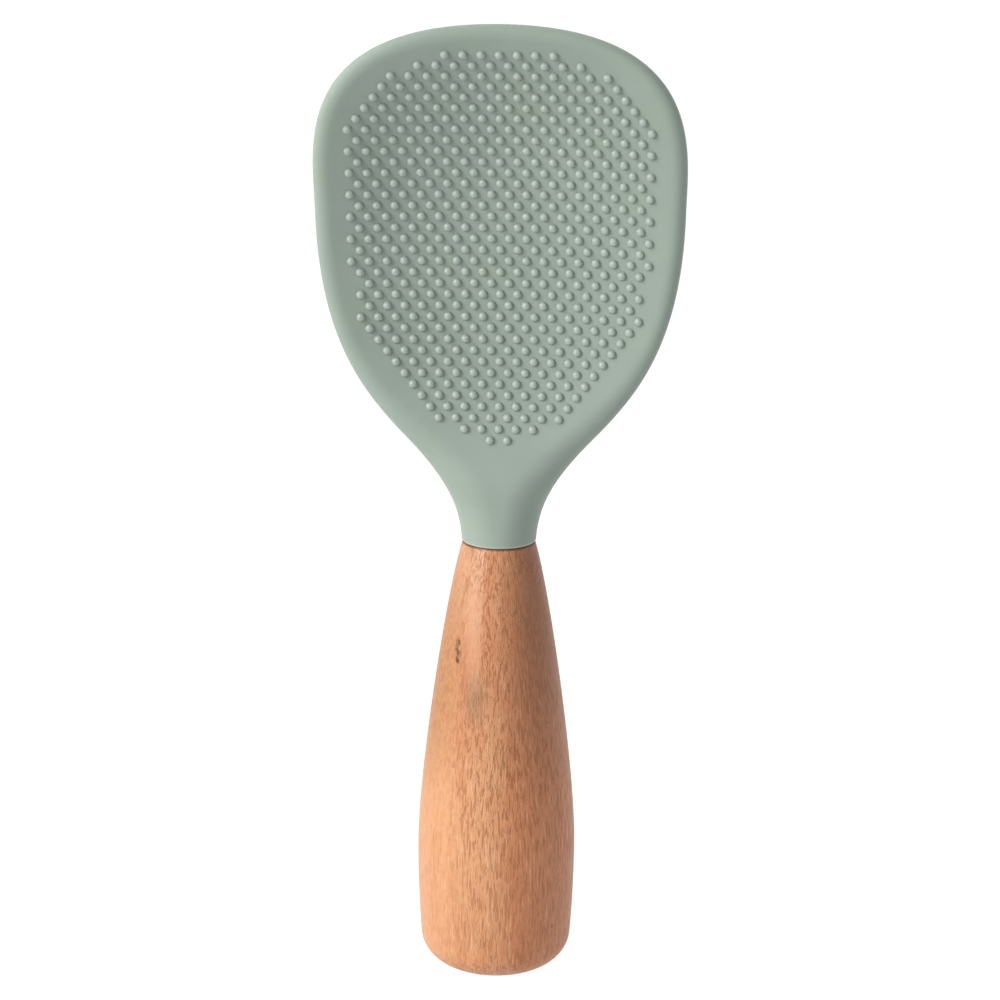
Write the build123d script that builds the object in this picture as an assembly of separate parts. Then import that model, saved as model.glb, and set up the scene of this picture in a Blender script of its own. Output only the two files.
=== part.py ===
from build123d import *
from math import cos, dist, floor, hypot, pi, sin, sqrt
import os

# A free-standing rice paddle: a studded silicone scoop moulded over a stiff core,
# on a turned wooden handle. Millimetres, +Z up, and the dished face looks along -Y.
# The origin is the centre of the handle's flat base.

os.makedirs("parts", exist_ok=True)

# Handle
handle_length = 93.4
handle_top_radius = 7.45
handle_top_rounding = 0.4
handle_belly_radius = 16.7
handle_belly_height = 26.0
handle_foot_radius = 15.5
handle_foot_rounding = 6.4
shoulder_width_share = 0.354
shoulder_drop_share = 0.154
belly_rise_share = 0.234

# Collar and neck of the head
collar_radius = 7.65
collar_height = 3.0
neck_height_shares = (0.12, 0.19, 0.30)
neck_depth_shares = (0.94, 0.74, 0.34)
neck_forward_shares = (0.05, 0.18, 0.12)
neck_squareness = (2.2, 2.6, 3.0)
section_points = 24

# Outline of the head, seen from the front, with heights above the seam
head_height = 106.1
head_half_width = 36.5
widest_height = 69.5
flare_half_width = 7.55
flare_drop = 2.5
flare_reach = 27.1
flank_reach = 48.5
side_reach = 12.0
crown_reach = 40.1

# Scoop: the front of the blade is part of a ball of this radius
dish_radius = 117.5
dish_height = 47.4
dish_forward = 2.9
blade_thickness = 6.0
blade_start_height = 18.0
rim_rounding = 2.6

# Studs on the front
stud_base_radius = 0.9
stud_rise = 0.75
stud_pitch = 3.461
stud_row_pitch = 2.286
stud_rows_above = 17
stud_rows_below = 18
stud_middle_height = 63.34
stud_side_margin = 5.97
stud_top_margin = 4.93
stud_field_bottom = 21.9
stud_field_radius = 17.2
stud_skin_inset = 4.2
stud_skin_thickness = 1.0
stud_skin_start = 20.2
outline_steps = 120
inset_steps = 8

# Stiff core inside the silicone
core_cover = 1.7
core_inset = 5.0
core_start_height = 24.0
core_neck_radius = 5.0
core_shoulder_height = 1.5
core_neck_height = 8.0
core_waist_height = 19.0
core_waist_half_width = 6.5
core_waist_half_depth = 3.0
core_waist_forward = 1.0
core_spread_height = 32.0
core_spread_half_width = 11.0
core_spread_half_depth = 1.1
core_spread_forward = 0.9
key_hole_radius = 3.5
key_hole_pitch = 14.0
key_hole_first_height = 41.0
key_hole_rows = 4
key_hole_columns = 3
tang_radius = 4.2
tang_length = 38.0
tang_rings = 3
tang_ring_depth = 0.6
tang_ring_pitch = 9.0

# Glue in the bore
glue_thickness = 0.15
glue_pool_depth = 0.6

seam_height = handle_length
dish_middle = (0, -(dish_forward + dish_radius), seam_height + dish_height)


def bezier_point(points, share):
    rest = 1 - share
    weights = (rest**3, 3 * rest**2 * share, 3 * rest * share**2, share**3)
    return tuple(sum(w * p[axis] for w, p in zip(weights, points)) for axis in (0, 1))


def flank_points():
    return (
        (flare_half_width, seam_height - flare_drop),
        (flare_half_width, seam_height - flare_drop + flare_reach),
        (head_half_width, seam_height + widest_height - flank_reach),
        (head_half_width, seam_height + widest_height),
    )


def crown_points():
    return (
        (head_half_width, seam_height + widest_height),
        (head_half_width, seam_height + widest_height + side_reach),
        (crown_reach, seam_height + head_height),
        (0, seam_height + head_height),
    )


def upright(flat_shape):
    return Rotation(90, 0, 0) * flat_shape


def outline_face():
    with BuildSketch() as sketch:
        with BuildLine() as line:
            Bezier(*flank_points())
            Bezier(*crown_points())
            Line((0, seam_height - flare_drop), flank_points()[0])
            mirror(line.line, about=Plane.YZ)
        make_face()
    return upright(sketch.sketch)


def outline_samples(steps):
    shares = [step / steps for step in range(steps + 1)]
    flank = [bezier_point(flank_points(), share) for share in shares]
    crown = [bezier_point(crown_points(), share) for share in shares]
    return flank + crown[1:]


def inset_face(inset):
    samples = outline_samples(inset_steps)
    points = [(flare_half_width - inset, samples[0][1])]
    for before, here, after in zip(samples, samples[1:], samples[2:]):
        across = inset * (after[1] - before[1]) / dist(before, after)
        along = inset * (after[0] - before[0]) / dist(before, after)
        points.append((here[0] - across, here[1] + along))
    points.append((0, seam_height + head_height - inset))
    with BuildSketch() as sketch:
        with BuildLine() as line:
            Spline(*points, tangents=((0, 1), (-1, 0)))
            Line((0, points[0][1]), points[0])
            mirror(line.line, about=Plane.YZ)
        make_face()
    return upright(sketch.sketch)


def half_width_at(height, samples):
    for (x_low, z_low), (x_high, z_high) in zip(samples, samples[1:]):
        if z_low <= height <= z_high and z_high > z_low:
            share = (height - z_low) / (z_high - z_low)
            return x_low + share * (x_high - x_low)
    return 0


def ball(radius):
    return Pos(dish_middle) * Sphere(radius)


def prism(face, start_height):
    reach = head_height
    slab = extrude(face, amount=reach, both=True)
    room = Pos(0, 0, seam_height + start_height) * Box(
        reach, reach, reach, align=(Align.CENTER, Align.CENTER, Align.MIN)
    )
    return slab & room


def neck_section(height, half_width, half_depth, forward, squareness):
    points = []
    for step in range(section_points):
        turn = 2 * pi * step / section_points
        across = abs(cos(turn)) ** (2 / squareness)
        along = abs(sin(turn)) ** (2 / squareness)
        x = half_width * across * (1 if cos(turn) >= 0 else -1)
        y = half_depth * along * (1 if sin(turn) >= 0 else -1)
        points.append((x, y - forward, height))
    return make_face(Spline(*points, periodic=True))


# Studs, in rows that are half a pitch out of step, kept off the rim and the neck
def stud_places():
    samples = outline_samples(outline_steps)
    places = []
    for row in range(-stud_rows_above, stud_rows_below + 1):
        along = stud_middle_height - row * stud_row_pitch - dish_height
        z = dish_height + dish_radius * sin(along / dish_radius)
        shift = 0 if row % 2 else 0.5
        columns = floor(head_half_width / stud_pitch)
        for column in range(-columns, columns + 1):
            x = (column + shift) * stud_pitch
            if in_stud_field(x, z, samples):
                places.append((x, z - dish_height))
    return places


def in_stud_field(x, z, samples):
    height = seam_height + z
    if abs(x) > half_width_at(height, samples):
        return False
    stretch = stud_side_margin / stud_top_margin
    gaps = [hypot(abs(x) - edge_x, (height - edge_z) * stretch) for edge_x, edge_z in samples]
    if min(gaps) < stud_side_margin:
        return False
    return z >= stud_field_bottom + x**2 / (2 * stud_field_radius)


def studs():
    radius = (stud_base_radius**2 + stud_rise**2) / (2 * stud_rise)
    reach = dish_radius + radius - stud_rise
    shapes = []
    for x, z in stud_places():
        outward = Vector(x, sqrt(dish_radius**2 - x**2 - z**2), z).normalized()
        place = Plane(origin=Vector(dish_middle) + outward * reach, z_dir=-outward)
        shapes.append(place * Sphere(radius))
    return shapes


def stud_skin():
    return (ball(dish_radius + stud_skin_thickness) - ball(dish_radius)) & prism(
        inset_face(stud_skin_inset), stud_skin_start
    )


# Silicone head: a bent blade with a round rim, and a neck that spreads into it
def blade():
    shell = ball(dish_radius + blade_thickness) - ball(dish_radius)
    plate = shell & prism(outline_face(), blade_start_height)
    floor_height = seam_height + blade_start_height
    rim = plate.edges().filter_by(lambda edge: (edge @ 0.5).Z > floor_height + rim_rounding)
    return fillet(rim, rim_rounding)


def neck():
    samples = outline_samples(outline_steps)
    faces = [
        neck_section(seam_height, collar_radius, collar_radius, 0, 2),
        neck_section(seam_height + collar_height, collar_radius, collar_radius, 0, 2),
    ]
    for index, height_share in enumerate(neck_height_shares):
        height = seam_height + head_height * height_share
        faces.append(
            neck_section(
                height,
                half_width_at(height, samples),
                collar_radius * neck_depth_shares[index],
                collar_radius * neck_forward_shares[index],
                neck_squareness[index],
            )
        )
    return loft(faces) - ball(dish_radius)


# Core: plate with keying holes, neck and ringed tang
def core_plate():
    near = ball(dish_radius + core_cover)
    far = ball(dish_radius + blade_thickness - core_cover)
    plate = (far - near) & prism(inset_face(core_inset), core_start_height)
    for row in range(key_hole_rows):
        for column in range(key_hole_columns):
            x = (column - (key_hole_columns - 1) / 2) * key_hole_pitch
            z = seam_height + key_hole_first_height + row * key_hole_pitch
            hole = Rotation(90, 0, 0) * Cylinder(key_hole_radius, dish_radius)
            plate -= Pos(x, 0, z) * hole
    return plate


def core_neck():
    heights = (core_shoulder_height, core_neck_height, core_waist_height, core_spread_height)
    widths = (core_neck_radius, core_neck_radius, core_waist_half_width, core_spread_half_width)
    depths = (core_neck_radius, core_neck_radius, core_waist_half_depth, core_spread_half_depth)
    forwards = (0, 0, core_waist_forward, core_spread_forward)
    faces = [
        neck_section(seam_height + height, width, depth, forward, 2)
        for height, width, depth, forward in zip(heights, widths, depths, forwards)
    ]
    return loft(faces)


def tang():
    bottom = (Align.CENTER, Align.CENTER, Align.MIN)
    length = tang_length + core_neck_height
    rod = Pos(0, 0, seam_height - tang_length) * Cylinder(tang_radius, length, align=bottom)
    for ring in range(tang_rings):
        height = seam_height - tang_length + (ring + 1) * tang_ring_pitch
        rod -= Pos(0, 0, height) * Torus(tang_radius, tang_ring_depth)
    return rod


# Handle and glue
def bore():
    radius = tang_radius + glue_thickness
    depth = tang_length + glue_pool_depth
    bottom = (Align.CENTER, Align.CENTER, Align.MIN)
    return Pos(0, 0, seam_height - depth) * Cylinder(radius, depth, align=bottom)


def turned_handle():
    belly_drop = handle_length - handle_belly_height
    shoulder_radius = handle_top_radius + shoulder_width_share * (
        handle_belly_radius - handle_top_radius
    )
    with BuildSketch() as sketch:
        with BuildLine():
            side = Bezier(
                (handle_top_radius, handle_length),
                (shoulder_radius, handle_length - shoulder_drop_share * belly_drop),
                (handle_belly_radius, handle_belly_height + belly_rise_share * belly_drop),
                (handle_belly_radius, handle_belly_height),
            )
            foot = TangentArc(side @ 1, (handle_foot_radius, 0), tangent=side % 1)
            Line(foot @ 1, (0, 0))
            Line((0, 0), (0, handle_length))
            Line((0, handle_length), side @ 0)
        make_face()
        outer = sketch.vertices().filter_by(lambda vertex: vertex.X > handle_top_radius / 2)
        ends = outer.sort_by(Axis.Y)
        fillet(ends[0], handle_foot_rounding)
        fillet(ends[-1], handle_top_rounding)
    return revolve(upright(sketch.sketch), axis=Axis.Z)


core = core_plate() + core_neck() + tang()
plain_skin = stud_skin()
studded_skin = plain_skin.fuse(*studs())
silicone_head = (blade() + neck() - core - plain_skin) + studded_skin
handle = turned_handle() - bore()
tang_glue = bore() - core

export_step(silicone_head, "parts/silicone_head.step")
export_step(core, "parts/core.step")
export_step(handle, "parts/handle.step")
export_step(tang_glue, "parts/tang_glue.step")
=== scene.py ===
import math

import bpy
import numpy as np
from mathutils import Matrix, Vector


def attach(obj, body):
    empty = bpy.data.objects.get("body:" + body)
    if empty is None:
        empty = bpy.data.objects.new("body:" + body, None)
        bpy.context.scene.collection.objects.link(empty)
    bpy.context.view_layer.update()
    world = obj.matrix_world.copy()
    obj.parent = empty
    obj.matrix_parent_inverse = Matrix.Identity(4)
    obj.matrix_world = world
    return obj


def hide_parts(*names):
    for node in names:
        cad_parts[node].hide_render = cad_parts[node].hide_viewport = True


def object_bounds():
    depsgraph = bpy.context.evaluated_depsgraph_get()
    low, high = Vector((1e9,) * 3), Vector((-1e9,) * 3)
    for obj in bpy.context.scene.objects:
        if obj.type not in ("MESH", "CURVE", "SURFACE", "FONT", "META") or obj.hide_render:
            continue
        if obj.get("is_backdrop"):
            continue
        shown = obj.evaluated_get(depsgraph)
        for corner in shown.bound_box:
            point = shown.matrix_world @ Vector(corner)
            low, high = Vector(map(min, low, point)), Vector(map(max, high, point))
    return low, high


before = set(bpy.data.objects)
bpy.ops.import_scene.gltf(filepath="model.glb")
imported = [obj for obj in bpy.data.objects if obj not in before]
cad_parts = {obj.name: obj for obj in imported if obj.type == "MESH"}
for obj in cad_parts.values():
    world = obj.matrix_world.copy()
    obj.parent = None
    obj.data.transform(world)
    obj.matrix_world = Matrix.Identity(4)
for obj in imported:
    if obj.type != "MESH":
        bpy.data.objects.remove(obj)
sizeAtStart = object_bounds()
print("paddle: packed parts loaded")

mm = 0.001
seamHeight = 93.4  # top of the wood, in mm above the table

# Outline of the head seen from the front; heights are mm above the seam
outline = {
    "height": 106.1,
    "halfWidth": 36.5,
    "widestHeight": 69.5,
    "flareHalfWidth": 7.55,
    "flareDrop": 2.5,
    "flareReach": 27.1,
    "flankReach": 48.5,
    "sideReach": 12.0,
    "crownReach": 40.1,
    "collarRadius": 7.65,
    "collarBlend": 0.1,
    "runBelow": 20.0,
    "samplesPerCurve": 400,
}

# The dish is part of a ball; the neck spreads into it
dish = {"radius": 117.5, "height": 47.4, "forward": 2.9}
neck = {
    "heights": (0.0, 5.0, 12.0, 18.0, 26.0, 36.0, 50.0, 110.0),
    "thickness": (15.3, 15.3, 14.2, 12.0, 8.9, 6.8, 6.0, 6.0),
    "rimRadius": (7.65, 7.65, 8.2, 7.6, 5.8, 4.2, 3.3, 3.2),
    "dishShare": (0.0, 0.0, 0.15, 0.55, 1.0, 1.0, 1.0, 1.0),
    "frontBlend": (7.0, 20.0),
}
headMesh = {"rows": 170, "columns": 80, "lowEdge": 0.45, "lowEdgeInset": 0.3, "lowEdgeRows": 5}

# The profile of a stud is pairs of radius and height above the dish
studs = {
    "pitch": 3.461,
    "rowPitch": 2.286,
    "rowsAbove": 17,
    "rowsBelow": 18,
    "columnsEachSide": 11,
    "middleHeight": 63.34,
    "sideMargin": 5.97,
    "topMargin": 4.93,
    "fieldBottom": 21.9,
    "fieldRadius": 17.2,
    "sides": 16,
    "profile": ((1.03, -0.05), (0.91, 0.04), (0.85, 0.2), (0.76, 0.42), (0.57, 0.61), (0.3, 0.72)),
    "top": 0.75,
}


def bezier(points, steps):
    share = np.linspace(0, 1, steps + 1)[:, None]
    rest = 1 - share
    a, b, c, d = (np.array(p, float) for p in points)
    return rest**3 * a + 3 * rest**2 * share * b + 3 * rest * share**2 * c + share**3 * d


def outlineCurve():
    o = outline
    low = -o["flareDrop"]
    widest = (o["halfWidth"], o["widestHeight"])
    flank = bezier(
        (
            (o["flareHalfWidth"], low),
            (o["flareHalfWidth"], low + o["flareReach"]),
            (o["halfWidth"], o["widestHeight"] - o["flankReach"]),
            widest,
        ),
        o["samplesPerCurve"],
    )
    crown = bezier(
        (
            widest,
            (o["halfWidth"], o["widestHeight"] + o["sideReach"]),
            (o["crownReach"], o["height"]),
            (0, o["height"]),
        ),
        o["samplesPerCurve"],
    )
    curve = np.vstack([[(o["flareHalfWidth"], -o["runBelow"])], flank, crown[1:]])

    # the collar stays round up to where the flare grows wider than it
    apart = curve[:, 0] - o["collarRadius"]
    wider = (apart + np.sqrt(apart**2 + o["collarBlend"] ** 2)) / 2
    lower = curve[:, 1] < o["widestHeight"] / 2
    curve[lower, 0] = o["collarRadius"] + wider[lower]
    return curve


def smoothBetween(at, heights, values):
    # a cubic through the given values, with level ends
    heights, values = np.array(heights), np.array(values)
    slopes = np.zeros(len(values))
    gaps = np.diff(heights)
    rises = np.diff(values) / gaps
    for i in range(1, len(values) - 1):
        if rises[i - 1] * rises[i] > 0:
            slopes[i] = 2 * rises[i - 1] * rises[i] / (rises[i - 1] + rises[i])
    at = np.clip(at, heights[0], heights[-1])
    i = np.clip(np.searchsorted(heights, at, side="right") - 1, 0, len(gaps) - 1)
    t = (at - heights[i]) / gaps[i]
    start, end = values[i], values[i + 1]
    lead, tail = slopes[i] * gaps[i], slopes[i + 1] * gaps[i]
    bent = start * (2 * t**3 - 3 * t**2 + 1) + lead * (t**3 - 2 * t**2 + t)
    return bent + end * (3 * t**2 - 2 * t**3) + tail * (t**3 - t**2)


def edgeDistance(x, z, curve, stretch=1.0):
    # distance in from the outline, measured to its straight pieces; heights may count for more
    grow = np.array((1.0, stretch))
    start, end = curve[:-1] * grow, curve[1:] * grow
    run = end - start
    size = (run**2).sum(1)
    points = np.stack([np.abs(x).ravel(), z.ravel()], 1) * grow
    nearest = np.full(len(points), np.inf)
    for a, r, s in zip(start, run, size):
        share = np.clip(((points - a) @ r) / s, 0, 1)
        away = points - a - share[:, None] * r
        nearest = np.minimum(nearest, (away**2).sum(1))
    return np.sqrt(nearest).reshape(x.shape)


def dishForward(x, z):
    up = z - dish["height"]
    return dish["forward"] + dish["radius"] - np.sqrt(dish["radius"] ** 2 - x**2 - up**2)


def headSurfaces(x, z, curve):
    # how far the front and back stand forward of the handle's axis
    thickness = smoothBetween(z, neck["heights"], neck["thickness"])
    rim = smoothBetween(z, neck["heights"], neck["rimRadius"])
    share = smoothBetween(z, neck["heights"], neck["dishShare"])
    low, high = neck["frontBlend"]
    blend = np.clip((z - low) / (high - low), 0, 1)
    blend = blend * blend * (3 - 2 * blend)
    onAxis = dishForward(0 * z, z)
    front = outline["collarRadius"] * (1 - blend) + onAxis * blend
    front = np.where(z < low, outline["collarRadius"], front)
    middle = front - thickness / 2 + share * (dishForward(x, z) - onAxis)
    inward = np.minimum(edgeDistance(x, z, curve), rim) / rim
    swell = np.sqrt(np.maximum(1 - (1 - inward) ** 2, 0)) * thickness / 2
    return middle + swell, middle - swell


def studPlaces(curve):
    places = []
    s = studs
    columns = np.arange(-s["columnsEachSide"], s["columnsEachSide"] + 1)
    for row in range(-s["rowsAbove"], s["rowsBelow"] + 1):
        along = s["middleHeight"] - row * s["rowPitch"] - dish["height"]
        z = dish["height"] + dish["radius"] * math.sin(along / dish["radius"])
        shift = 0 if row % 2 else 0.5
        x = (columns + shift) * s["pitch"]
        inside = np.abs(x) < np.interp(z, curve[:, 1], curve[:, 0])
        gap = edgeDistance(x, np.full(len(x), z), curve, s["sideMargin"] / s["topMargin"])
        clear = gap >= s["sideMargin"]
        above = z >= s["fieldBottom"] + x**2 / (2 * s["fieldRadius"])
        places += [(float(a), z) for a in x[inside & clear & above]]
    return places


def addMesh(name, points, faces):
    mesh = bpy.data.meshes.new(name)
    mesh.from_pydata([tuple(float(c) for c in p) for p in points], [], faces)
    mesh.validate()
    mesh.update()
    mesh.polygons.foreach_set("use_smooth", [True] * len(mesh.polygons))
    thing = bpy.data.objects.new(name, mesh)
    bpy.context.scene.collection.objects.link(thing)
    return thing


def addSkin(points, faces, curve):
    # a front and a back grid that share their outer edge, closed at the tip and at the seam
    m = headMesh
    steps = np.r_[0, np.cumsum(np.hypot(*np.diff(curve, axis=0).T))]
    first = np.interp(m["lowEdge"], curve[:, 1], steps)
    along = np.linspace(first, steps[-1], m["rows"] + 1)[:-1]
    low = m["lowEdge"] * np.linspace(0, 1, m["lowEdgeRows"]) ** 2
    heights = np.r_[low[:-1], np.interp(along, steps, curve[:, 1])]
    widths = np.r_[np.interp(low[:-1], curve[:, 1], curve[:, 0]), np.interp(along, steps, curve[:, 0])]
    turn = np.linspace(-math.pi / 2, math.pi / 2, m["columns"] + 1)
    x = widths[:, None] * np.sin(turn)[None, :]
    z = np.repeat(heights[:, None], m["columns"] + 1, axis=1)
    front, back = headSurfaces(x, z, curve)
    for i in range(len(low) - 1):
        rise = 1 - heights[i] / m["lowEdge"]
        shrink = 1 - m["lowEdgeInset"] * (1 - math.sqrt(1 - rise**2)) / outline["collarRadius"]
        x[i] *= shrink
        front[i] *= shrink
        back[i] *= shrink
    rows, columns = x.shape
    for i in range(rows):
        for j in range(columns):
            points.append((x[i, j], -front[i, j], z[i, j]))
    frontId = np.arange(rows * columns).reshape(rows, columns)
    backId = frontId.copy()
    for i in range(rows):
        for j in range(1, columns - 1):
            backId[i, j] = len(points)
            points.append((x[i, j], -back[i, j], z[i, j]))
    for i in range(rows - 1):
        for j in range(columns - 1):
            a, b, c, d = frontId[i, j], frontId[i, j + 1], frontId[i + 1, j + 1], frontId[i + 1, j]
            faces.append((a, b, c, d))
            a, b, c, d = backId[i, j], backId[i, j + 1], backId[i + 1, j + 1], backId[i + 1, j]
            faces.append((a, d, c, b))
    tip = len(points)
    tipForward = float(dishForward(np.array(0.0), np.array(outline["height"]))) - neck["thickness"][-1] / 2
    points.append((0, -tipForward, outline["height"]))
    bottom = len(points)
    points.append((0, 0, 0))
    for j in range(columns - 1):
        faces.append((frontId[-1, j], frontId[-1, j + 1], tip))
        faces.append((backId[-1, j + 1], backId[-1, j], tip))
        faces.append((frontId[0, j + 1], frontId[0, j], bottom))
        faces.append((backId[0, j], backId[0, j + 1], bottom))


def addStud(points, faces, x, z):
    centre = Vector((0, -(dish["forward"] + dish["radius"]), dish["height"]))
    up = z - dish["height"]
    outward = Vector((-x, -math.sqrt(dish["radius"] ** 2 - x**2 - up**2), -up)).normalized()
    foot = centre - outward * dish["radius"]
    side = outward.cross(Vector((0, 0, 1))).normalized()
    rise = side.cross(outward)
    base = len(points)
    rings, n = len(studs["profile"]), studs["sides"]
    for r, h in studs["profile"]:
        for k in range(n):
            turn = 2 * math.pi * k / n
            points.append(foot + outward * h + (side * math.cos(turn) + rise * math.sin(turn)) * r)
    points.append(foot + outward * studs["top"])
    for ring in range(rings - 1):
        for k in range(n):
            a, b = base + ring * n + k, base + ring * n + (k + 1) % n
            faces.append((a, b, b + n, a + n))
    last = base + (rings - 1) * n
    for k in range(n):
        faces.append((last + k, last + (k + 1) % n, base + rings * n))


def buildHead():
    curve = outlineCurve()
    points, faces = [], []
    addSkin(points, faces, curve)
    places = studPlaces(curve)
    for x, z in places:
        addStud(points, faces, x, z)
    points = [(p[0] * mm, p[1] * mm, (p[2] + seamHeight) * mm) for p in points]
    print("paddle: head with", len(places), "studs and", len(faces), "faces")
    return addMesh("head_skin", points, [tuple(int(v) for v in f) for f in faces])


# Turned handle; heights are mm above the table
handle = {
    "topRadius": 7.45,
    "topRounding": 0.4,
    "topOverhang": 0.1,
    "topRingRadius": 3.0,
    "bellyRadius": 16.7,
    "bellyHeight": 26.0,
    "footRadius": 15.5,
    "footRounding": 6.4,
    "shoulderWidthShare": 0.354,
    "shoulderDropShare": 0.154,
    "bellyRiseShare": 0.234,
    "baseRingShares": (0.8, 0.4),
    "topSteps": 7,
    "sideSteps": 70,
    "footSteps": 14,
    "cornerSteps": 24,
    "sides": 144,
}


def handleProfile():
    # pairs of radius and height, from the top's inner ring over the side to the base's
    h = handle
    drop = seamHeight - h["bellyHeight"]
    shoulder = h["topRadius"] + h["shoulderWidthShare"] * (h["bellyRadius"] - h["topRadius"])
    side = bezier(
        (
            (h["topRadius"], seamHeight),
            (shoulder, seamHeight - h["shoulderDropShare"] * drop),
            (h["bellyRadius"], h["bellyHeight"] + h["bellyRiseShare"] * drop),
            (h["bellyRadius"], h["bellyHeight"]),
        ),
        h["sideSteps"],
    )
    step = h["topRounding"]
    side = side[side[:, 1] < seamHeight - step]
    lip = []
    for turn in np.linspace(math.pi / 2, 0, h["topSteps"]):
        radius = h["topRadius"] - step + h["topOverhang"] + step * math.cos(turn)
        lip.append((radius, seamHeight - step + step * math.sin(turn)))
    bend = h["bellyHeight"] ** 2 / (2 * (h["bellyRadius"] - h["footRadius"]))
    foot = []
    for z in np.linspace(h["bellyHeight"], h["footRounding"], h["footSteps"])[1:]:
        foot.append((h["bellyRadius"] - (h["bellyHeight"] - z) ** 2 / (2 * bend), z))
    last, r = foot[-1], h["footRounding"]
    corner = []
    for turn in np.linspace(0, math.pi / 2, h["cornerSteps"])[1:]:
        corner.append((last[0] - r + r * math.cos(turn), r - r * math.sin(turn)))
    inner = [(corner[-1][0] * share, 0.0) for share in h["baseRingShares"]]
    return [(h["topRingRadius"], seamHeight)] + lip + [tuple(p) for p in side] + foot + corner + inner


def buildHandle():
    profile = handleProfile()
    n = handle["sides"]
    points = [(0, 0, seamHeight * mm)]
    for r, z in profile:
        for k in range(n):
            turn = 2 * math.pi * k / n
            points.append((r * mm * math.cos(turn), r * mm * math.sin(turn), z * mm))
    points.append((0, 0, 0))
    faces = [(0, 1 + k, 1 + (k + 1) % n) for k in range(n)]
    for ring in range(len(profile) - 1):
        for k in range(n):
            a, b = 1 + ring * n + k, 1 + ring * n + (k + 1) % n
            faces.append((a, a + n, b + n, b))
    last = 1 + (len(profile) - 1) * n
    faces += [(len(points) - 1, last + (k + 1) % n, last + k) for k in range(n)]
    print("paddle: handle with", len(faces), "faces")
    return addMesh("beech_handle", points, faces)


# Adds nodes to one material or to the sky; a value is a number, a colour or another node's socket
class Shading:
    def __init__(self, tree):
        self.nodes = tree.nodes
        self.links = tree.links

    def feed(self, socket, value):
        if isinstance(value, (int, float)):
            socket.default_value = value
        elif isinstance(value, tuple):
            socket.default_value = (*value, 1)
        else:
            self.links.new(value, socket)

    def math(self, kind, *values):
        node = self.nodes.new("ShaderNodeMath")
        node.operation = kind
        for socket, value in zip(node.inputs, values):
            self.feed(socket, value)
        return node.outputs[0]

    def times(self, first, second):
        return self.math("MULTIPLY", first, second)

    def ramp(self, value, low, high, start=0.0, end=1.0):
        node = self.nodes.new("ShaderNodeMapRange")
        node.interpolation_type = "SMOOTHSTEP"
        names = ("Value", "From Min", "From Max", "To Min", "To Max")
        for name, setting in zip(names, (value, low, high, start, end)):
            self.feed(node.inputs[name], setting)
        return node.outputs["Result"]

    def mix(self, share, first, second):
        node = self.nodes.new("ShaderNodeMix")
        node.data_type = "RGBA"
        self.feed(node.inputs["Factor"], share)
        self.feed(node.inputs[6], first)
        self.feed(node.inputs[7], second)
        return node.outputs[2]

    def vector(self, kind, place, by=None):
        node = self.nodes.new("ShaderNodeVectorMath")
        node.operation = kind
        self.links.new(place, node.inputs[0])
        if by is not None:
            node.inputs[1].default_value = by
        return node

    def placeInMm(self):
        where = self.nodes.new("ShaderNodeTexCoord")
        grow = self.vector("SCALE", where.outputs["Object"])
        grow.inputs["Scale"].default_value = 1 / mm
        return grow.outputs[0]

    def split(self, place):
        node = self.nodes.new("ShaderNodeSeparateXYZ")
        self.links.new(place, node.inputs[0])
        return node.outputs["X"], node.outputs["Z"]

    def noise(self, place, scales, detail=3.0, roughness=0.5, offset=(0, 0, 0), twist=0.0):
        # scales are repeats per mm along x, y and z
        mapping = self.nodes.new("ShaderNodeMapping")
        self.links.new(place, mapping.inputs["Vector"])
        mapping.inputs["Scale"].default_value = scales
        mapping.inputs["Location"].default_value = offset
        noise = self.nodes.new("ShaderNodeTexNoise")
        self.links.new(mapping.outputs["Vector"], noise.inputs["Vector"])
        noise.inputs["Scale"].default_value = 1.0
        noise.inputs["Detail"].default_value = detail
        noise.inputs["Roughness"].default_value = roughness
        noise.inputs["Distortion"].default_value = twist
        return noise.outputs["Fac"]

    def distance(self, place, middle, size=(1.0, 1.0, 1.0)):
        away = self.vector("SUBTRACT", place, middle).outputs[0]
        away = self.vector("DIVIDE", away, size).outputs[0]
        return self.vector("LENGTH", away).outputs["Value"]

    def spot(self, place, middle, size, fade):
        # 1 near a point, 0 away from it
        return self.ramp(self.distance(place, middle, size), 1.0, fade)

    def bump(self, shader, height, strength, depth):
        node = self.nodes.new("ShaderNodeBump")
        node.inputs["Strength"].default_value = strength
        node.inputs["Distance"].default_value = depth * mm
        self.links.new(height, node.inputs["Height"])
        self.links.new(node.outputs["Normal"], shader.inputs["Normal"])


def newMaterial(name, constants):
    material = bpy.data.materials.new(name)
    material.use_nodes = True
    shader = material.node_tree.nodes["Principled BSDF"]
    for socket, value in constants.items():
        shader.inputs[socket].default_value = value
    return material, Shading(material.node_tree), shader


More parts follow.
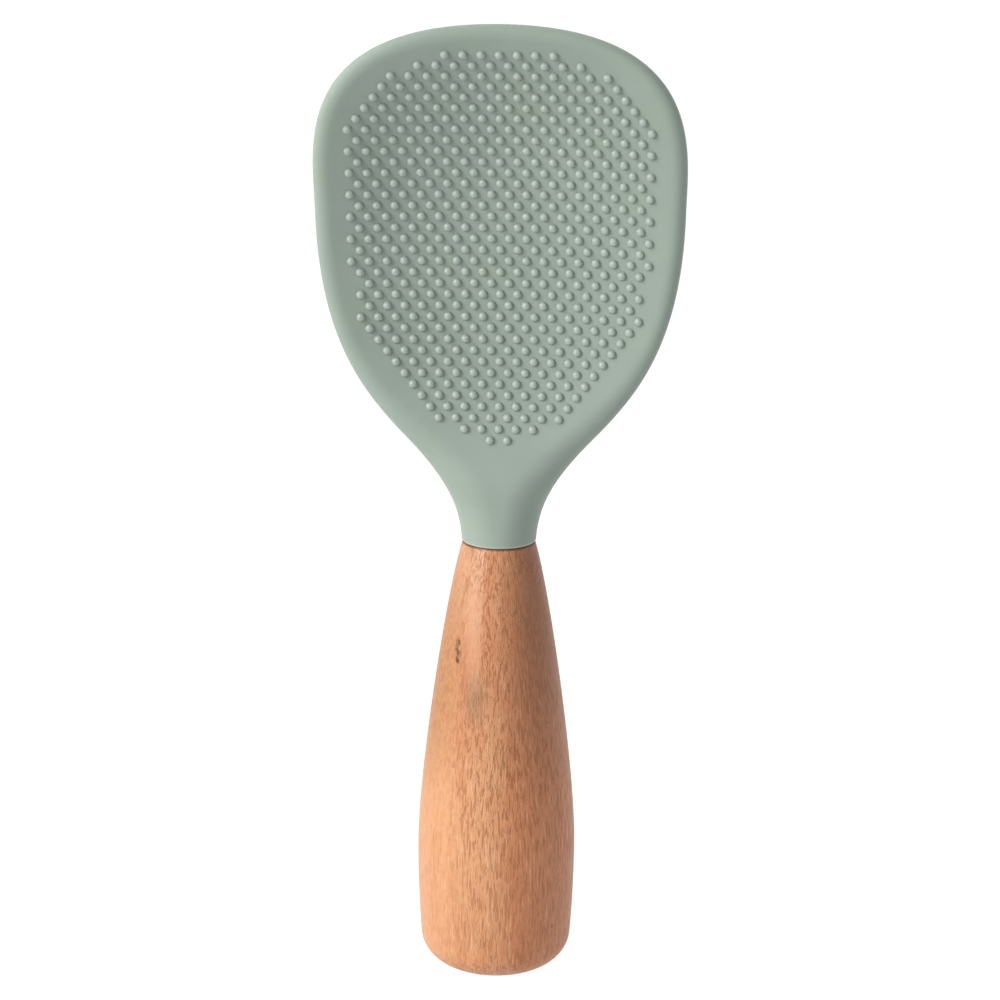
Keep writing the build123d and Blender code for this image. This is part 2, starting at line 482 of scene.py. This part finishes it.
# Noises are repeats per mm, detail, roughness and offset; ramps are low, high, start and end
silicone = {
    "colour": (0.224, 0.272, 0.238),
    "shade": (0.210, 0.257, 0.224),
    "cloud": ((0.05, 0.05, 0.05), 2.0),
    "cloudRamp": (0.35, 0.65),
    "tint": (0.222, 0.272, 0.214),
    "patches": ((0.10, 0.10, 0.10), 2.0, 0.5, (4.0, 1.0, 7.0)),
    "patchRamp": (0.50, 0.68, 0.0, 0.35),
    # the paler tip colour is a painted highlight
    "tip": (0.262, 0.310, 0.278),
    "tipDepths": (0.34, 0.60),
    # the lip colour is a painted highlight on the collar's lower edge
    "lip": (0.36, 0.35, 0.28),
    "lipHighlightHeights": (0.06, 0.46),
    "lipHighlightFade": 0.06,
    "lipHighlightShare": 0.8,
    "roughness": 0.72,
    "tipRoughness": 0.22,
    "grain": ((2.0, 2.0, 2.0), 3.0),
    "grainStrength": 0.25,
    "grainHeight": 0.03,
    "shader": {
        "Specular IOR Level": 0.34,
        "Sheen Weight": 0.18,
        "Sheen Roughness": 0.35,
        "Subsurface Weight": 0.3,
        "Subsurface Radius": (0.5, 0.6, 0.5),
        "Subsurface Scale": 0.0015,
    },
}


def siliconeMaterial():
    s = silicone
    material, kit, shader = newMaterial("grey_green_silicone", s["shader"])
    place = kit.placeInMm()
    cloud = kit.ramp(kit.noise(place, *s["cloud"]), *s["cloudRamp"])
    colour = kit.mix(cloud, s["shade"], s["colour"])
    patches = kit.ramp(kit.noise(place, *s["patches"]), *s["patchRamp"])
    colour = kit.mix(patches, colour, s["tint"])

    # the tips of the studs stand inside the ball that the dish is cut from; polished by use, they are
    # glossier, and their paler colour is a painted highlight
    centre = (0.0, -(dish["forward"] + dish["radius"]), dish["height"] + seamHeight)
    reach = kit.distance(place, centre)
    outer, inner = (dish["radius"] - depth for depth in s["tipDepths"])
    colour = kit.mix(kit.ramp(reach, outer, inner), colour, s["tip"])
    kit.feed(shader.inputs["Roughness"], kit.ramp(reach, outer, inner, s["roughness"], s["tipRoughness"]))

    # a pale band on the collar just above the seam: a painted highlight on its rounded lower edge
    height = kit.split(place)[1]
    low, high = (seamHeight + h for h in s["lipHighlightHeights"])
    fade = s["lipHighlightFade"]
    lip = kit.times(kit.ramp(height, low - fade, low + fade), kit.ramp(height, high + fade, high - fade))
    colour = kit.mix(kit.times(lip, s["lipHighlightShare"]), colour, s["lip"])
    kit.feed(shader.inputs["Base Color"], colour)
    kit.bump(shader, kit.noise(place, *s["grain"]), s["grainStrength"], s["grainHeight"])
    return material


# Noises and ramps are given as above; a noise may end with its twist. A spot is its middle, its
# size and the share of its size that is full. Places are mm from the handle's axis and the table.
beech = {
    # growth rings, from pale to deep
    "pale": (0.500, 0.246, 0.118),
    "deep": (0.436, 0.164, 0.068),
    "acrossShare": 0.028,
    "rings": (
        (0.9, ((0.09, 0.09, 0.016), 2.5, 0.55, (1.3, 2.1, 0.4))),
        (0.9, ((0.42, 0.3, 0.012), 2.5, 0.6, (3.1, 0.4, 0.2))),
        (0.55, ((1.5, 1.5, 0.05), 3.0, 0.6, (0.7, 5.2, 1.1))),
    ),
    "ringRamp": (0.84, 1.40),
    # pale upper left, a painted highlight where the light falls on the handle
    "flank": (0.525, 0.280, 0.158),
    "flankHighlightAcross": (-2.2, -3.1),
    "flankHighlightHeights": (70.0, 82.0),
    "flankHighlightShare": 0.75,
    # flecks along the grain, with pale glints between them; the glints' pale colour is a painted highlight
    "fleck": (0.230, 0.068, 0.012),
    "fleckShare": 0.66,
    "mottle": ((0.9, 0.9, 0.55), 3.0, 0.65, (2.2, 9.1, 4.0)),
    "mottleRamp": (0.40, 0.62, 0.0, 0.16),
    "crowd": ((0.16, 0.16, 0.05), 2.0, 0.5, (7.7, 3.3, 2.0)),
    "coarse": ((2.2, 2.2, 0.24), 2.0, 0.5, (0.0, 0.0, 0.0), 0.1),
    "coarseCrowding": 0.10,
    "coarseAcross": (-12.0, -4.5, -0.07, 0.0),
    "coarseRamp": (0.60, 0.675),
    "fine": ((4.0, 4.0, 0.50), 2.0, 0.5, (5.0, 2.0, 8.0), 0.1),
    "fineCrowding": 0.2,
    "fineRamp": (0.66, 0.78),
    "fineShare": 0.6,
    "marksAcross": (-12.0, -2.0, 0.4, 1.0),
    "marksHeights": (18.0, 48.0, 0.72, 1.0),
    # a spot on the upper left with fewer flecks, painted paler there as a highlight
    "smoothAndLitSpot": ((-4.6, -9.0, 75.0), (2.6, 9.0, 17.0), 0.4),
    "smoothFading": -0.75,
    "smoothHighlightShare": 0.35,
    "glint": (0.620, 0.365, 0.225),
    "glintRamp": (0.42, 0.30),
    "glintShare": 0.40,
    # painted shade, deeper towards the collar under the head and to the right; golden on the upper left
    "paintedShade": (0.200, 0.075, 0.030),
    "paintedShadeHeights": (34.0, 66.0, 0.0, 0.20),
    "rightShadeAcross": (-2.0, 8.0),
    "rightShadeHeights": (30.0, 84.0, 0.0, 0.65),
    "golden": (0.355, 0.165, 0.064),
    "goldenSpot": ((-12.5, -4.0, 68.0), (9.0, 14.0, 37.0), 0.2),
    "goldenShare": 0.92,
    "specks": ((1.3, 1.3, 0.8), 3.0, 0.65, (4.2, 6.1, 3.0)),
    "speckRamp": (0.44, 0.62, 0.0, 0.45),
    # a grey cast, a pin knot made of joined spots, a small dot, and a painted shadow in the gap under the
    # collar
    "grey": (0.235, 0.122, 0.064),
    "greySpot": ((-4.0, -11.0, 62.5), (3.6, 9.0, 8.0), 0.1),
    "greyShare": 0.65,
    "knot": (0.080, 0.030, 0.007),
    "knotMiddles": ((-7.80, -8.6, 73.6), (-8.15, -8.6, 72.4), (-7.65, -8.6, 71.3), (-7.90, -8.6, 70.0)),
    "knotSize": ((0.62, 3.0, 1.05), 0.45),
    "knotEdge": ((1.3, 1.3, 0.7), 2.0, 0.6, (6.0, 3.0, 1.0)),
    "knotRamp": (0.36, 0.50, 0.4, 1.0),
    "knotShare": 0.95,
    "dotSpot": ((12.4, -9.6, 11.6), (0.5, 2.0, 0.55), 0.4),
    "dotShare": 0.6,
    "gap": (0.050, 0.024, 0.014),
    "gapShadowDepths": (0.6, 0.2),
    "gapShadowShare": 0.85,
    # relief and finish
    "reliefStrength": 0.6,
    "reliefDepth": 0.2,
    "glintRise": 0.5,
    "shader": {"Roughness": 0.43, "Specular IOR Level": 0.42},
}


def ringColour(kit, place, across, height):
    b = beech
    tone = kit.times(across, b["acrossShare"])
    for share, noise in b["rings"]:
        tone = kit.math("MULTIPLY_ADD", kit.noise(place, *noise), share, tone)
    colour = kit.mix(kit.ramp(tone, *b["ringRamp"]), b["pale"], b["deep"])
    # pale upper left: a painted highlight
    flank = kit.times(kit.ramp(across, *b["flankHighlightAcross"]), kit.ramp(height, *b["flankHighlightHeights"]))
    colour = kit.mix(kit.times(flank, b["flankHighlightShare"]), colour, b["flank"])
    return kit.mix(kit.ramp(kit.noise(place, *b["mottle"]), *b["mottleRamp"]), colour, b["fleck"])


def fleckMarks(kit, place, across, height, smoothAndLit):
    # how dark the flecks and how pale the glints are at each place, from 0 to 1
    b = beech
    crowd = kit.noise(place, *b["crowd"])
    coarse = kit.noise(place, *b["coarse"])
    line = kit.math("MULTIPLY_ADD", crowd, b["coarseCrowding"], coarse)
    line = kit.math("ADD", line, kit.ramp(across, *b["coarseAcross"]))
    thin = kit.math("MULTIPLY_ADD", crowd, b["fineCrowding"], kit.noise(place, *b["fine"]))
    thin = kit.times(kit.ramp(thin, *b["fineRamp"]), b["fineShare"])
    marks = kit.math("MAXIMUM", kit.ramp(line, *b["coarseRamp"]), thin)
    marks = kit.times(marks, kit.ramp(across, *b["marksAcross"]))
    marks = kit.times(marks, kit.ramp(height, *b["marksHeights"]))
    marks = kit.times(marks, kit.math("MULTIPLY_ADD", smoothAndLit, b["smoothFading"], 1.0))
    return marks, kit.ramp(coarse, *b["glintRamp"])


def addBlemishes(kit, place, height, colour):
    b = beech
    colour = kit.mix(kit.times(kit.spot(place, *b["greySpot"]), b["greyShare"]), colour, b["grey"])
    knot = 0.0
    for middle in b["knotMiddles"]:
        knot = kit.math("MAXIMUM", kit.spot(place, middle, *b["knotSize"]), knot)
    knot = kit.times(knot, kit.ramp(kit.noise(place, *b["knotEdge"]), *b["knotRamp"]))
    colour = kit.mix(kit.times(knot, b["knotShare"]), colour, b["knot"])
    colour = kit.mix(kit.times(kit.spot(place, *b["dotSpot"]), b["dotShare"]), colour, b["knot"])
    # painted shadow: the top of the wood darkens in the gap under the collar
    low, high = (seamHeight - depth for depth in b["gapShadowDepths"])
    return kit.mix(kit.times(kit.ramp(height, low, high), b["gapShadowShare"]), colour, b["gap"])


def beechMaterial():
    b = beech
    material, kit, shader = newMaterial("turned_beech", b["shader"])
    place = kit.placeInMm()
    across, height = kit.split(place)
    smoothAndLit = kit.spot(place, *b["smoothAndLitSpot"])
    marks, glints = fleckMarks(kit, place, across, height, smoothAndLit)
    colour = ringColour(kit, place, across, height)
    # painted highlight: the spot is mixed towards the pale flank colour
    colour = kit.mix(kit.times(smoothAndLit, b["smoothHighlightShare"]), colour, b["flank"])
    # the glint colour is a painted highlight on the raised grain
    colour = kit.mix(kit.times(glints, b["glintShare"]), colour, b["glint"])
    colour = kit.mix(kit.times(marks, b["fleckShare"]), colour, b["fleck"])
    # painted shade: darker towards the collar under the head and on the upper right
    colour = kit.mix(kit.ramp(height, *b["paintedShadeHeights"]), colour, b["paintedShade"])
    right = kit.times(kit.ramp(across, *b["rightShadeAcross"]), kit.ramp(height, *b["rightShadeHeights"]))
    colour = kit.mix(right, colour, b["paintedShade"])
    golden = kit.spot(place, *b["goldenSpot"])
    colour = kit.mix(kit.times(golden, b["goldenShare"]), colour, b["golden"])
    specks = kit.ramp(kit.noise(place, *b["specks"]), *b["speckRamp"])
    colour = kit.mix(kit.times(golden, specks), colour, b["fleck"])
    colour = addBlemishes(kit, place, height, colour)
    kit.feed(shader.inputs["Base Color"], colour)
    relief = kit.math("MULTIPLY_ADD", marks, -1.0, kit.times(glints, b["glintRise"]))
    kit.bump(shader, relief, b["reliefStrength"], b["reliefDepth"])
    return material


head = buildHead()
head.data.materials.append(siliconeMaterial())
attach(head, "root")
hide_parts("silicone_head")

wood = buildHandle()
wood.data.materials.append(beechMaterial())
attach(wood, "root")
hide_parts("handle")
print("paddle: pieces and materials made")


# A round pale table top, wide enough to fill the view; its radius is in metres
ground = {
    "radius": 6.0,
    "sides": 96,
    "colour": (0.13, 0.13, 0.13, 1),
    "glowColour": (1, 1, 1, 1),
    "glow": 0.94,
    "roughness": 0.9,
    "specular": 0.1,
}


def buildGround():
    g = ground
    points, faces = [(0, 0, 0)], []
    for k in range(g["sides"]):
        turn = 2 * math.pi * k / g["sides"]
        points.append((g["radius"] * math.cos(turn), g["radius"] * math.sin(turn), 0))
        faces.append((0, 1 + k, 1 + (k + 1) % g["sides"]))
    table = addMesh("ground", points, faces)
    constants = {
        "Base Color": g["colour"],
        "Roughness": g["roughness"],
        "Specular IOR Level": g["specular"],
        "Emission Color": g["glowColour"],
        "Emission Strength": g["glow"],
    }
    table.data.materials.append(newMaterial("pale_ground", constants)[0])
    return table


buildGround()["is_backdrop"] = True

# Lights: a broad one on the left, weaker ones behind on the right and above, and a pale sky
lights = {
    "key": {"at": (-1.12, -0.79, 0.82), "size": (0.85, 1.05), "power": 36.5, "colour": (1.0, 0.985, 0.96)},
    "edge": {"at": (0.56, 0.36, 0.46), "size": (0.5, 0.5), "power": 1.1, "colour": (0.98, 0.99, 1.0)},
    "crown": {"at": (-0.10, 0.34, 0.62), "size": (0.6, 0.4), "power": 1.0, "colour": (1.0, 1.0, 1.0)},
}
aim = Vector((0, 0, 0.11))
sky = {"colour": (1, 1, 1, 1), "low": 0.50, "high": 0.52, "fade": 0.25}


def addLight(name, values):
    light = bpy.data.lights.new(name, "AREA")
    light.shape = "RECTANGLE"
    light.size, light.size_y = values["size"]
    light.energy = values["power"]
    light.color = values["colour"]
    thing = bpy.data.objects.new(name, light)
    thing.location = values["at"]
    thing.rotation_euler = (aim - Vector(values["at"])).to_track_quat("-Z", "Y").to_euler()
    bpy.context.scene.collection.objects.link(thing)


def addSky():
    # a little brighter overhead than at the horizon
    world = bpy.data.worlds.new("pale_sky")
    world.use_nodes = True
    kit = Shading(world.node_tree)
    facing = kit.nodes.new("ShaderNodeTexCoord")
    upward = kit.split(facing.outputs["Generated"])[1]
    background = kit.nodes["Background"]
    kit.feed(background.inputs["Strength"], kit.ramp(upward, 0.0, sky["fade"], sky["low"], sky["high"]))
    background.inputs["Color"].default_value = sky["colour"]
    bpy.context.scene.world = world


for lightName, lightValues in lights.items():
    addLight(lightName, lightValues)
addSky()
print("paddle: ground and lights set")

# Camera: mm and degrees about the seam on the handle's axis, clipping in metres
view = {
    "distance": 507.0,
    "down": 15.32,
    "turn": 2.62,
    "roll": 0.5,
    "right": 0.15,
    "up": 8.09,
    "lens": 88.22,
    "sensor": 36.0,
    "clip": (0.02, 20.0),
}


def addCamera():
    v = view
    down, turn = math.radians(v["down"]), math.radians(v["turn"])
    away = v["up"] * math.sin(down) - v["distance"] * math.cos(down)
    rise = v["up"] * math.cos(down) + v["distance"] * math.sin(down)
    lens = bpy.data.cameras.new("camera")
    lens.lens = v["lens"]
    lens.sensor_width = v["sensor"]
    lens.clip_start, lens.clip_end = v["clip"]
    camera = bpy.data.objects.new("camera", lens)
    camera.location = (
        (v["right"] * math.cos(turn) - away * math.sin(turn)) * mm,
        (v["right"] * math.sin(turn) + away * math.cos(turn)) * mm,
        (seamHeight + rise) * mm,
    )
    facing = Matrix.Rotation(turn, 3, "Z") @ Matrix.Rotation(math.pi / 2 - down, 3, "X")
    facing = facing @ Matrix.Rotation(math.radians(v["roll"]), 3, "Z")
    camera.rotation_euler = facing.to_euler()
    bpy.context.scene.collection.objects.link(camera)
    bpy.context.scene.camera = camera


addCamera()
bpy.context.scene.view_settings.view_transform = "Standard"
bpy.context.scene.view_settings.look = "None"

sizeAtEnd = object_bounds()


def plainLists(value):
    if isinstance(value, dict):
        return {k: plainLists(v) for k, v in value.items()}
    if isinstance(value, (str, int, float, bool)) or value is None:
        return value
    return [plainLists(v) for v in value]


{"cad": plainLists(sizeAtStart), "new": plainLists(sizeAtEnd)}
print("paddle: scene ready")
